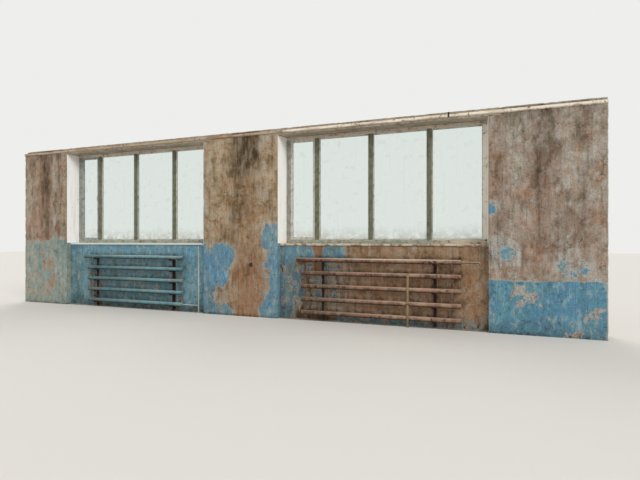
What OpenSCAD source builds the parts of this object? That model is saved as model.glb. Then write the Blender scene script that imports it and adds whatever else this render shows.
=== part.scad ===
// Window wall of a factory room: three plastered brick piers, two glazed
// bays with recessed aprons, and a pipe radiator under each window.
// X runs along the wall, the room lies on the -Y side and +Z is up.
// The origin is at the middle of the wall's footprint, on the ground.

/* [Wall] */
// Width of the middle pier and of the near pier
pier_w = 1840; // [1400:10:2200]
// Width of the far pier
far_pier_w = 1510; // [1000:10:2200]
// Thickness of the piers
pier_d = 510; // [450:5:640]
// Height of the wall
wall_h = 3960; // [3400:10:4800]
// Width of the brick nib that stops each window frame from outside
nib_w = 60; // [30:5:100]

/* [Openings] */
// Width of a window opening between two piers
opening_w = 4160; // [3600:10:4800]
// Height of the window board's top above the floor
sill_z = 1560; // [1450:5:1900]
// Height of the lintels
lintel_h = 150; // [120:5:400]
// Length of a lintel's bearing on each pier
bearing = 200; // [120:10:300]
// Width of the drip groove under a lintel's outer edge
throat_w = 16; // [10:1:20]
// Distance from the drip groove to the outer face
throat_in = 30; // [20:1:40]
// How far the aprons lie behind the room face of the piers
apron_recess = 130; // [90:5:160]
// Fall of the apron's outer top
sill_fall = 20; // [10:1:30]

/* [Reveals] */
// Distance from the piers' room face to the window frame
reveal_d = 340; // [280:5:360]
// Thickness of the plaster reveal at the pier's edge
reveal_min = 8; // [5:1:15]
// Thickness of the plaster reveal at the window frame
reveal_max = 40; // [25:1:55]

/* [Ledge] */
// Height of the dark rebate above the ledge, at the top of the wall
rebate_h = 60; // [40:5:70]
// Depth of the rebate
rebate_d = 60; // [30:5:90]
// Height of the ledge strip
ledge_h = 58; // [40:1:70]
// How far the ledge strip stands proud of the piers
ledge_out = 24; // [15:1:30]
// Height of the cove under the ledge strip
ledge_cove = 16; // [8:1:24]
// How far the ledge strip's foot stands proud of the piers
ledge_foot = 8; // [4:1:12]

/* [Window board and outer sill] */
// Thickness of the window board
board_t = 50; // [35:1:60]
// How far the window board stands proud of the apron
board_nose = 25; // [15:1:35]
// Thickness of the outer sill sheet
sheet_t = 3; // [2:0.5:5]
// How far the outer sill's drip stands out of the wall
drip_out = 40; // [25:1:60]
// Height of the drip
drip_h = 28; // [20:1:40]
// Height of the upstand against the frame
upstand_h = 30; // [20:1:40]

/* [Window frame] */
// Depth of the frame
frame_d = 80; // [70:1:100]
// Width of a jamb between the pier and the glass
jamb_w = 125; // [100:1:160]
// Width of a mullion
mullion_w = 84; // [80:1:120]
// Height of the frame's head
head_h = 62; // [50:1:80]
// Height of the frame's bottom rail
rail_h = 78; // [60:1:100]
// Chamfer on the room side of the bars
bar_chamfer = 8; // [3:1:12]
// Width of the narrow vent light
vent_w = 570; // [420:5:600]
// Width of the light next to the near jamb
end_light_w = 930; // [800:5:1050]
// Section of the outer glazing stops
stop_s = 18; // [12:1:22]
// Section of the inner glazing beads
bead_s = 16; // [10:1:18]
// Thickness of the glass
glass_t = 5; // [4:0.5:8]

/* [Vent sash] */
// Width of the sash's stiles and rails
stile_w = 50; // [40:1:60]
// Depth of the sash
sash_d = 44; // [38:1:50]
// Gap between the sash and the frame around it
sash_gap = 2; // [1:0.5:4]
// Width of the sash's glazing rebate
sash_rebate = 14; // [10:1:18]

/* [Radiators] */
// Outer diameter of a radiator pipe
pipe_d = 89; // [76:1:108]
// Distance between the axes of two pipe rows
row_pitch = 265; // [230:5:300]
// Height of the lowest pipe's axis
row_low = 165; // [140:5:190]
// Number of pipe rows
rows = 5; // [3:1:5]
// Space between the near radiator's top pipe and the far edge of its bay
near_space_l = 430; // [300:10:600]
// Space between the near radiator and the near edge of its bay
near_space_r = 470; // [380:10:600]
// Space between the far radiator's top pipe and the far edge of its bay
far_space_l = 600; // [450:10:700]
// Space between the far radiator and the near edge of its bay
far_space_r = 580; // [480:10:700]
// How much further the top pipe reaches than the others
top_extra = 110; // [60:5:160]
// Thickness of the end plates
plate_t = 8; // [5:1:12]
// Outer diameter of the link pipes between two rows
link_d = 57; // [42:1:60]
// Outer diameter of the thin tie pipes between two rows
tie_d = 33; // [26:1:40]
// Distance from the pipes' near ends to the links
link_inset = 160; // [100:5:240]
// Distance from the lower pipes' far ends to the links
far_link_inset = 75; // [50:5:240]
// Gap left for the weld where a curved face meets another
weld_gap = 0.3; // [0.2:0.1:0.6]

/* [Radiator posts] */
// Leg of the angle posts
post_leg = 50; // [40:1:60]
// Thickness of the angle posts
post_t = 5; // [4:0.5:8]
// Distance from the near radiator's ends to its posts
near_post_inset = 500; // [400:10:700]
// How much further in the near radiator's far post stands
post_shift = 65; // [0:5:120]
// Distance from the far radiator's ends to its posts
far_post_inset = 340; // [280:10:600]
// Gap between the posts and the pipes
pipe_gap = 5; // [3:1:10]
// Thickness of the saddle arms
arm_t = 8; // [6:1:12]
// Height of a saddle arm under the pipe's axis
arm_drop = 66; // [55:1:80]
// How far an arm's tip reaches past the pipe
arm_lip = 12; // [8:1:20]
// Width of the retaining bar in front of the near radiator
bar_w = 40; // [30:1:60]
// Thickness of the retaining bar
bar_t = 6; // [4:1:10]
// Distance from the near radiator's near post to the retaining bar
bar_space = 460; // [200:10:700]

/* [Feed pipes] */
// Outer diameter of the feed pipes
feed_d = 27; // [21:1:34]
// Space between the near feed pipe's cut-off end and the near pier
feed_space = 130; // [60:5:200]
// Length of the near feed pipe's cut-off end
feed_drop = 130; // [90:5:200]
// Bend radius of the feed pipe's axis
feed_bend = 60; // [45:1:80]
// Distance from the far bay's near edge to the riser
riser_space = 155; // [120:5:250]
// How far the riser ends below the window board's top
riser_gap = 60; // [50:5:300]
// Height of the riser's lower clip above the floor
clip_low = 620; // [400:10:700]
// Distance from the riser's top to its upper clip
clip_high = 260; // [150:10:400]
// Height of a riser clip
clip_h = 30; // [20:1:40]
// Thickness of a riser clip
clip_t = 5; // [4:0.5:8]

/* [Hidden] */
$fn = 48;

// Depths, from the room to the outside
pipe_r = pipe_d / 2;
pipe_off = post_leg + pipe_gap + pipe_r;
room_reach = max(ledge_out, pipe_off + pipe_r + arm_lip - apron_recess);
wall_in = (room_reach - pier_d - drip_out) / 2;
wall_out = wall_in + pier_d;
apron_in = wall_in + apron_recess;
frame_in = wall_in + reveal_d;
frame_out = frame_in + frame_d;
pipe_y = apron_in - pipe_off;
stop_y = frame_out - stop_s;
pane_y = stop_y - glass_t;
sash_y = stop_y - sash_d;
sash_pane_y = stop_y - stop_s - glass_t;

// Heights
head_z = wall_h - lintel_h;
rebate_z = wall_h - rebate_h;
apron_h = sill_z - board_t;
riser_h = sill_z - riser_gap;
light_z0 = sill_z + rail_h;
light_z1 = head_z - head_h;
row_top = row_low + (rows - 1) * row_pitch;

// Places along the wall, from the far end
wall_l = far_pier_w + 2 * pier_w + 2 * opening_w;
far_end = -wall_l / 2;
far_bay = far_end + far_pier_w;
middle_x = far_bay + opening_w;
near_bay = middle_x + pier_w;
near_x = near_bay + opening_w;

// Places along a bay, from its far edge. A radiator is given by its two
// ends and by the insets of its far and near post
mid_light_w = (opening_w - 2 * jamb_w - 3 * mullion_w - vent_w - end_light_w) / 2;
light_w = [vent_w, mid_light_w, mid_light_w, end_light_w];
near_radiator = [near_space_l, opening_w - near_space_r, near_post_inset + post_shift, near_post_inset];
far_radiator = [far_space_l, opening_w - far_space_r, far_post_inset, far_post_inset];

// Start of light i of a window
function light_x(i) = i == 0 ? jamb_w : light_x(i - 1) + light_w[i - 1] + mullion_w;

// Height of the axis of pipe row i, counted from the floor
function row_z(i) = row_low + i * row_pitch;

// Start of pipe row i of a radiator; the top pipe reaches further
function row_x(r, i) = i == rows - 1 ? r[0] : r[0] + top_extra;

// Fall of the weathered apron top, past mm beyond the outer face
function weather_fall(past) = sill_fall * (wall_out + past - frame_out) / (wall_out - frame_out);

// A box given by its lowest and highest corner
module box(a, b) {
    translate(a) cube([b[0] - a[0], b[1] - a[1], b[2] - a[2]]);
}

// A bar along X with a section drawn in Y and Z
module bar_x(x0, x1, points) {
    translate([x0, 0, 0]) rotate([90, 0, 90])
        linear_extrude(x1 - x0) polygon(points);
}

// An upright bar with a section drawn in X and Y
module bar_z(z0, z1, points) {
    translate([0, 0, z0]) linear_extrude(z1 - z0) polygon(points);
}

// A level round bar along X
module rod_x(x0, x1, y, z, d) {
    translate([x0, y, z]) rotate([0, 90, 0]) cylinder(h = x1 - x0, d = d);
}

// An upright round bar
module rod_z(x, y, z0, z1, d) {
    translate([x, y, z0]) cylinder(h = z1 - z0, d = d);
}

// A rectangular ring in the plane of the window, with bars s wide
module ring(a, b, s) {
    difference() {
        box(a, b);
        box([a[0] + s, a[1] - 1, a[2] + s], [b[0] - s, b[1] + 1, b[2] - s]);
    }
}

// A pier w wide, with a nib and a lintel seat on each side that faces a window
module pier(x, w, window_left, window_right) {
    nib_l = window_left ? nib_w : 0;
    nib_r = window_right ? nib_w : 0;
    color("tan") translate([x, 0, 0]) difference() {
        bar_z(0, wall_h, [
            [0, wall_in], [w, wall_in], [w, frame_out], [w + nib_r, frame_out],
            [w + nib_r, wall_out], [-nib_l, wall_out], [-nib_l, frame_out], [0, frame_out]
        ]);
        if (window_left) lintel_seat(-nib_w - 1, bearing);
        if (window_right) lintel_seat(w - bearing, w + nib_w + 1);
        top_rebate(0, w);
    }
}

// What is taken from a pier for a lintel's end
module lintel_seat(x0, x1) {
    box([x0, wall_in - 1, head_z], [x1, wall_out + 1, wall_h + 1]);
}

// What is taken from the wall's top on the room side, from x0 to x1
module top_rebate(x0, x1) {
    box([x0 - 1, wall_in - 1, rebate_z], [x1 + 1, wall_in + rebate_d, wall_h + 1]);
}

// The wall under a window, thinner than the piers, with a weathered outer top
module apron(x, paint) {
    color(paint) translate([x, 0, 0]) difference() {
        bar_z(0, apron_h, [
            [0, apron_in], [opening_w, apron_in], [opening_w, frame_out],
            [opening_w - nib_w, frame_out], [opening_w - nib_w, wall_out],
            [nib_w, wall_out], [nib_w, frame_out], [0, frame_out]
        ]);
        bar_x(-1, opening_w + 1, [
            [frame_out, apron_h], [wall_out + 1, apron_h - weather_fall(1)],
            [wall_out + 1, apron_h + 1], [frame_out, apron_h + 1]
        ]);
    }
}

// A lintel that bears on the seats of two piers, with a drip groove outside
module lintel(x) {
    color("sienna") translate([x, 0, 0]) difference() {
        box([-bearing, wall_in, head_z], [opening_w + bearing, wall_out, wall_h]);
        top_rebate(-bearing, opening_w + bearing);
        box([nib_w, wall_out - throat_in - throat_w, head_z - 1],
            [opening_w - nib_w, wall_out - throat_in, head_z + throat_w / 2]);
    }
}

// The pale strip below the rebate, along the whole wall
module ledge_strip() {
    z0 = rebate_z - ledge_h;
    color("wheat") bar_x(far_end, far_end + wall_l, [
        [wall_in, z0], [wall_in, rebate_z], [wall_in - ledge_out, rebate_z],
        [wall_in - ledge_out, z0 + ledge_cove], [wall_in - ledge_foot, z0]
    ]);
}

// The window board on the apron, with a round nose towards the room
module window_board(x) {
    nose_y = apron_in - board_nose + board_t / 2;
    color("gainsboro") translate([x, 0, 0]) union() {
        box([0, nose_y, apron_h], [opening_w, frame_in, sill_z]);
        rod_x(0, opening_w, nose_y, apron_h + board_t / 2, board_t);
    }
}

// The bent sheet over the apron's weathered top, with upstand and drip
module outer_sill(x) {
    y0 = frame_out;
    y1 = wall_out + drip_out - sheet_t;
    z1 = apron_h - weather_fall(drip_out - sheet_t);
    color("silver") translate([x, 0, 0]) bar_x(nib_w, opening_w - nib_w, [
        [y0, apron_h], [y1, z1], [y1, z1 - drip_h], [y1 + sheet_t, z1 - drip_h],
        [y1 + sheet_t, z1 + sheet_t], [y0 + sheet_t, apron_h + sheet_t],
        [y0 + sheet_t, apron_h + upstand_h], [y0, apron_h + upstand_h]
    ]);
}

// The splayed white plaster on both sides of a window
module reveals(x) {
    color("white") for (side = [0, 1])
        translate([x + side * opening_w, 0, 0]) mirror([side, 0, 0])
            bar_z(sill_z, head_z, [
                [0, wall_in], [reveal_min, wall_in], [reveal_max, frame_in], [0, frame_in]
            ]);
}

// The frame's head, chamfered towards the room
module frame_head(x) {
    c = bar_chamfer;
    color("gray") bar_x(x, x + opening_w, [
        [frame_in, light_z1 + c], [frame_in + c, light_z1], [frame_out, light_z1],
        [frame_out, head_z], [frame_in, head_z]
    ]);
}

// The frame's bottom rail, let down behind the window board onto the apron
module frame_rail(x) {
    c = bar_chamfer;
    color("gray") bar_x(x, x + opening_w, [
        [frame_in, apron_h], [frame_out, apron_h], [frame_out, light_z0],
        [frame_in + c, light_z0], [frame_in, light_z0 - c]
    ]);
}

// An upright frame bar w wide, chamfered towards the room beside each light
module frame_post(x, w, light_left, light_right) {
    cl = light_left ? bar_chamfer : 0;
    cr = light_right ? bar_chamfer : 0;
    translate([x, 0, 0]) bar_z(light_z0, light_z1, [
        [0, frame_out], [0, frame_in + cl], [cl, frame_in],
        [w - cr, frame_in], [w, frame_in + cr], [w, frame_out]
    ]);
}

module frame_jambs(x) {
    color("gray") {
        frame_post(x, jamb_w, false, true);
        frame_post(x + opening_w - jamb_w, jamb_w, true, false);
    }
}

module frame_mullions(x) {
    color("gray") for (i = [1:3])
        frame_post(x + light_x(i) - mullion_w, mullion_w, true, true);
}

// The stops outside the glass, one ring in each light
module glazing_stops(x) {
    color("dimgray") for (i = [0:3])
        translate([x + light_x(i), 0, 0])
            ring([0, stop_y, light_z0], [light_w[i], frame_out, light_z1], stop_s);
}

// The beads inside the glass of the three fixed lights
module glazing_beads(x) {
    color("darkgray") for (i = [1:3])
        translate([x + light_x(i), 0, 0])
            ring([0, pane_y - bead_s, light_z0], [light_w[i], pane_y, light_z1], bead_s);
}

// The glass of the three fixed lights, between stops and beads
module glass(x) {
    color("lightblue", 0.4) for (i = [1:3])
        translate([x + light_x(i), 0, 0])
            box([0, pane_y, light_z0], [light_w[i], stop_y, light_z1]);
}

// The sash of the narrow light, closed against its stop and rebated for glass
module vent_sash(x) {
    r = stile_w - sash_rebate;
    w = vent_w - 2 * sash_gap;
    h = light_z1 - light_z0 - 2 * sash_gap;
    color("dimgray") translate([x + jamb_w + sash_gap, 0, light_z0 + sash_gap]) difference() {
        ring([0, sash_y, 0], [w, stop_y, h], stile_w);
        box([r, sash_y - 1, r], [w - r, stop_y - stop_s, h - r]);
    }
}

// The bead that holds the sash's glass
module vent_bead(x) {
    r = sash_gap + stile_w - sash_rebate;
    color("darkgray") translate([x + jamb_w, 0, 0])
        ring([r, sash_pane_y - sash_rebate, light_z0 + r],
             [vent_w - r, sash_pane_y, light_z1 - r], sash_rebate);
}

// The sash's glass
module vent_glass(x) {
    r = sash_gap + stile_w - sash_rebate;
    color("lightblue", 0.4) translate([x + jamb_w, 0, 0])
        box([r, sash_pane_y, light_z0 + r],
            [vent_w - r, sash_pane_y + glass_t, light_z1 - r]);
}

// The level pipes of radiator r, one above the other
module radiator_pipes(x, r, paint) {
    color(paint) translate([x, 0, 0]) for (i = [0:rows - 1])
        rod_x(row_x(r, i) + plate_t, r[1] - plate_t, pipe_y, row_z(i), pipe_d);
}

// The plates that close the pipes' ends
module radiator_plates(x, r, paint) {
    color(paint) translate([x, 0, 0]) for (i = [0:rows - 1]) {
        end_plate(row_x(r, i) + plate_t, row_z(i), 1);
        end_plate(r[1] - plate_t, row_z(i), 0);
    }
}

// One end plate, with its outer edge turned down for the weld
module end_plate(x, z, far_side) {
    translate([x, pipe_y, z]) mirror([far_side, 0, 0]) rotate([0, 90, 0])
        rotate_extrude() polygon([
            [0, 0], [pipe_r, 0], [pipe_r, plate_t / 2], [pipe_r - plate_t / 2, plate_t], [0, plate_t]
        ]);
}

// The upright links between rows: a wide link at one end and a thin tie at
// the other, changing ends from row to row
module radiator_links(x, r, paint) {
    color(paint) translate([x, 0, 0]) for (i = [0:rows - 2]) {
        even = i % 2 == 0;
        coped_link(r[0] + top_extra + far_link_inset, i, even ? link_d : tie_d);
        coped_link(r[1] - link_inset, i, even ? tie_d : link_d);
    }
}

// A link whose ends are cut to the curve of the pipes above and below
module coped_link(x, i, d) {
    difference() {
        rod_z(x, pipe_y, row_z(i), row_z(i + 1), d);
        for (k = [i, i + 1])
            rod_x(x - d, x + d, pipe_y, row_z(k), pipe_d + 2 * weld_gap);
    }
}

// Two angle posts against the apron, each with a saddle arm for every pipe
module radiator_posts(x, r) {
    color("maroon") translate([x, 0, 0]) {
        saddle_post(r[0] + r[2], 1);
        saddle_post(r[1] - r[3], 0);
    }
}

module saddle_post(x, far_side) {
    translate([x, 0, 0]) mirror([far_side, 0, 0]) union() {
        bar_z(0, row_top + pipe_r, [
            [0, apron_in], [0, apron_in - post_leg], [post_t, apron_in - post_leg],
            [post_t, apron_in - post_t], [post_leg, apron_in - post_t], [post_leg, apron_in]
        ]);
        for (i = [0:rows - 1]) saddle_arm(row_z(i));
    }
}

// An arm under a pipe: a round saddle, and a lip in front of the pipe
module saddle_arm(z) {
    tip_y = pipe_y - pipe_r - arm_lip;
    difference() {
        box([-arm_t, tip_y, z - arm_drop], [0, apron_in - post_t, z]);
        rod_x(-arm_t - 1, 1, pipe_y, z, pipe_d + 2 * weld_gap);
        box([-arm_t - 1, tip_y - 1, z - pipe_r / 2], [1, pipe_y, z + 1]);
    }
}

// The pale flat bar in front of the lower rows of the near radiator
module retaining_bar(x, r) {
    y = pipe_y - pipe_r - weld_gap;
    bar_mid = r[1] - r[3] - bar_space;
    color("burlywood") translate([x + bar_mid, 0, 0])
        box([-bar_w / 2, y - bar_t, 0], [bar_w / 2, y, row_z(rows - 2) + pipe_r]);
}

// The riser beside a radiator, its branch to the lowest pipe and its clips
module riser(x, r) {
    riser_x = opening_w - riser_space;
    color("whitesmoke") translate([x, 0, 0]) union() {
        rod_z(riser_x, pipe_y, 0, riser_h, feed_d);
        rod_x(r[1], riser_x, pipe_y, row_low, feed_d);
        for (z = [clip_low, riser_h - clip_high])
            box([riser_x - clip_t / 2, pipe_y, z], [riser_x + clip_t / 2, apron_in, z + clip_h]);
    }
}

// The cut-off feed pipe at the near end of a radiator's top row
module feed_pipe(x, r) {
    end_x = opening_w - feed_space;
    bend_x = end_x - feed_bend;
    bend_z = row_top - feed_bend;
    color("saddlebrown") translate([x, 0, 0]) union() {
        rod_x(r[1], bend_x, pipe_y, row_top, feed_d);
        translate([bend_x, pipe_y, bend_z]) rotate([90, 0, 0])
            rotate_extrude(angle = 90) translate([feed_bend, 0]) circle(d = feed_d);
        rod_z(end_x, pipe_y, bend_z - feed_drop, bend_z, feed_d);
    }
}

pier(far_end, far_pier_w, false, true);  // far_pier
pier(middle_x, pier_w, true, true);  // middle_pier
pier(near_x, pier_w, true, false);  // near_pier
apron(far_bay, "steelblue");  // far_apron
apron(near_bay, "rosybrown");  // near_apron
lintel(far_bay);  // far_lintel
lintel(near_bay);  // near_lintel
ledge_strip();
window_board(far_bay);  // far_window_board
window_board(near_bay);  // near_window_board
outer_sill(far_bay);  // far_outer_sill
outer_sill(near_bay);  // near_outer_sill
reveals(far_bay);  // far_reveals
reveals(near_bay);  // near_reveals
frame_head(far_bay);  // far_frame_head
frame_rail(far_bay);  // far_frame_rail
frame_jambs(far_bay);  // far_frame_jambs
frame_mullions(far_bay);  // far_frame_mullions
glazing_stops(far_bay);  // far_glazing_stops
glazing_beads(far_bay);  // far_glazing_beads
glass(far_bay);  // far_glass
vent_sash(far_bay);  // far_vent_sash
vent_bead(far_bay);  // far_vent_bead
vent_glass(far_bay);  // far_vent_glass
frame_head(near_bay);  // near_frame_head
frame_rail(near_bay);  // near_frame_rail
frame_jambs(near_bay);  // near_frame_jambs
frame_mullions(near_bay);  // near_frame_mullions
glazing_stops(near_bay);  // near_glazing_stops
glazing_beads(near_bay);  // near_glazing_beads
glass(near_bay);  // near_glass
vent_sash(near_bay);  // near_vent_sash
vent_bead(near_bay);  // near_vent_bead
vent_glass(near_bay);  // near_vent_glass
radiator_pipes(far_bay, far_radiator, "slategray");  // far_radiator_pipes
radiator_links(far_bay, far_radiator, "slategray");  // far_radiator_links
radiator_plates(far_bay, far_radiator, "slategray");  // far_radiator_plates
radiator_posts(far_bay, far_radiator);  // far_radiator_posts
riser(far_bay, far_radiator);  // far_riser
radiator_pipes(near_bay, near_radiator, "saddlebrown");  // near_radiator_pipes
radiator_links(near_bay, near_radiator, "saddlebrown");  // near_radiator_links
radiator_plates(near_bay, near_radiator, "saddlebrown");  // near_radiator_plates
radiator_posts(near_bay, near_radiator);  // near_radiator_posts
retaining_bar(near_bay, near_radiator);  // near_retaining_bar
feed_pipe(near_bay, near_radiator);  // near_feed_pipe
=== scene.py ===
"""Dresses the window wall of an old factory room: stained plaster under peeling paint, timber windows and
pipe radiators."""

import math
import random

import bmesh
import bpy
from mathutils import Matrix, Vector, noise


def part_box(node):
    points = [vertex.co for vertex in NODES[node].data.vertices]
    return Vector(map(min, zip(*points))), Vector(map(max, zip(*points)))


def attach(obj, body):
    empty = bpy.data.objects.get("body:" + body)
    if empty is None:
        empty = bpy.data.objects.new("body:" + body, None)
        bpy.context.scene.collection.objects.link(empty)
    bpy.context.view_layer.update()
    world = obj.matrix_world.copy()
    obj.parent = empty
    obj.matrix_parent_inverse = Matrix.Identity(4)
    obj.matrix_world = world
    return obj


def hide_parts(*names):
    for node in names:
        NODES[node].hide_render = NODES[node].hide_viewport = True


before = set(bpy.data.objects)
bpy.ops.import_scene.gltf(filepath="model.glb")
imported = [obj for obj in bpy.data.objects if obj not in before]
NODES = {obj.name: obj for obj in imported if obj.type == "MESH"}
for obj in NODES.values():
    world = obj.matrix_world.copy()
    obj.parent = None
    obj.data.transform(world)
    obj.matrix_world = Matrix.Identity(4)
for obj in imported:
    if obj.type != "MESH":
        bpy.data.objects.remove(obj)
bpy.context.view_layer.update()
BAYS = ("far", "near")

# Depths, heights and ends of the wall, read from the frame
WALL_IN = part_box("middle_pier")[0].y
WALL_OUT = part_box("middle_pier")[1].y
WALL_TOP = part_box("middle_pier")[1].z
WALL_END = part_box("near_pier")[1].x
BOARD_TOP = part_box("near_window_board")[1].z
FLOOR = 0.0

# Radiator pipes, read from the frame
PIPE_LOW, PIPE_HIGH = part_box("near_radiator_pipes")
PIPE_R = (PIPE_HIGH.y - PIPE_LOW.y) / 2
PIPE_Y = (PIPE_HIGH.y + PIPE_LOW.y) / 2
ROWS = 5
ROW_PITCH = (PIPE_HIGH.z - PIPE_LOW.z - 2 * PIPE_R) / (ROWS - 1)
TOP_ROW = PIPE_HIGH.z - PIPE_R

# Round of the weld beads at the links and at the end plates, how far the plates' are sunk into the pipe, and
# the height of the links' lumps
LINK_BEAD_R = 0.005
PLATE_BEAD_R = 0.0026
PLATE_BEAD_SUNK = 0.0005
WELD_LUMP = 0.0013

# Size of a mesh cell on plaster, and on the dust at the wall's foot
PLASTER_STEP = 0.026
DUST_STEP = 0.018

# A length too small to see
HAIR = 1e-4

# The outer render reaches this far round into the openings
RENDER_DEPTH = 0.12

# Edges that turn by more radians than this are arrises, and get chipped
ARRIS_TURN = 0.5

# Thickness of a flake of paint, and how deep it is rooted in the plaster
FLAKE_THICK = 0.0007
FLAKE_ROOT = 0.0008

# How far plaster undulates, how deep rust has lifted it, and the height of the dirt along its foot
UNEVEN = 0.004
RUST_DEPTH = 0.006
FOOT_DIRT = 0.035

# Drift of a patch's edges: noise spots to the metre and reach in metres, broad and close
BROAD_SPOTS = 1.9
BROAD_REACH = 0.13
CLOSE_SPOTS = 7.0
CLOSE_REACH = 0.06

# Without a seed of its own, the drift of the patches' edges would differ from run to run
noise.seed_set(97)


def rgb(code):
    """A colour code as in a picture editor, in the linear values that shaders take."""
    parts = [int(code[i:i + 2], 16) / 255 for i in (0, 2, 4)]
    linear = [c / 12.92 if c <= 0.04045 else ((c + 0.055) / 1.055) ** 2.4 for c in parts]
    return (*linear, 1.0)


# What plaster and its paint usually carry
CHALK = "b9b2a3"
SOOT = "43331f"
RUST = "8f5b38"
PAINT_FRESH = "4d86ad"

# Stains and tints of the plaster, and the painted shade in its hollows
MOSSY = "8b8e78"
SANDY = "b38a68"
PIT_SHADE = "5a4c40"

# Tints and dirt of the paint on it
FADED_PAINT = "7d9a94"
SCUFFED_PAINT = "a9b9b6"
RUBBED_PAINT = "56706f"
LIME_RUN = "b4bcb6"
PAINT_GRIME = "4a5850"
PAINT_SOOT = "2f3531"

# The outer render, and the painted shade in its hollows
RENDER_PALE = "bdb5a6"
RENDER_GREY = "b0a797"
RENDER_SOOT = "5d574c"
RENDER_PIT_SHADE = "8a8174"

# Flakes and rubble
LIME_BACK = "b7b1a2"
RUBBLE_GREY = "6b6258"
RUBBLE_LIME = "a39a8b"
RUBBLE_BROWN = "544b40"

# Whitewash, and the cream ledge
CHALK_WHITE = "fbfaf6"
CHALK_RUN = "c9c5b9"
BARE_SPOT = "a08d76"
ROOM_EDGE = "8f8070"
CREAM = "f0e6d3"
CREAM_STAIN = "8f7150"
CREAM_CHIP = "6d4c34"
LEDGE_UNDERSIDE_SHADE = "8d7358"

# Dirt on timber and boards, and the painted shade under pipes
GRAIN_DIRT = "5f5747"
TIMBER_DUST = "b5ab94"
BOARD_DUST = "8f8a78"
PIPE_SHADOW = "5a4038"

# Glass and zinc
CLEAR_GLASS = "eef6f3"
GLASS_DUST = "b9b6a8"
ZINC_PALE = "b9bebc"
ZINC_GREY = "9da3a2"
ZINC_STAIN = "7b6a58"

# What the wall stands in
FLOOR_PALE = "dedbd5"
SURROUND_PALE = "eeeeec"
DAYLIGHT = (1.0, 0.99, 0.97, 1.0)


def maths(operation, swapped=False):
    """An operator that adds a Math node of its value and another value or number."""
    def operator(value, other):
        a, b = (other, value) if swapped else (value, other)
        return value.shader.add("Math", {"operation": operation}, {0: a, 1: b})
    return operator


class Value:
    """A socket of a shader. Its operators add Math nodes, so shader maths reads as plain sums."""

    def __init__(self, shader, socket):
        self.shader = shader
        self.socket = socket

    __add__ = __radd__ = maths("ADD")
    __mul__ = __rmul__ = maths("MULTIPLY")
    __sub__ = maths("SUBTRACT")
    __rsub__ = maths("SUBTRACT", swapped=True)
    __and__ = maths("MINIMUM")
    __or__ = maths("MAXIMUM")

    def step(self, low, high):
        """0 at low, 1 at high and a smooth ramp between."""
        ramp = {"interpolation_type": "SMOOTHSTEP"}
        return self.shader.add("MapRange", ramp, {"Value": self, "From Min": low, "From Max": high})


class Shader:
    """A tree of nodes. One method adds any node, and the world's and the finishes' nodes come from it."""

    def __init__(self, tree):
        self.tree = tree
        self.tree.nodes.clear()

    def add(self, kind, settings=None, sockets=None, out=0):
        """Adds a node of that kind, sets it, plugs in values, colour codes or links, and gives one output."""
        node = self.tree.nodes.new("ShaderNode" + kind)
        for key, setting in (settings or {}).items():
            setattr(node, key, setting)
        for key, value in (sockets or {}).items():
            if isinstance(value, Value):
                self.tree.links.new(value.socket, node.inputs[key])
            else:
                node.inputs[key].default_value = rgb(value) if isinstance(value, str) else value
        return Value(self, node.outputs[out]) if node.outputs else None


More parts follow.
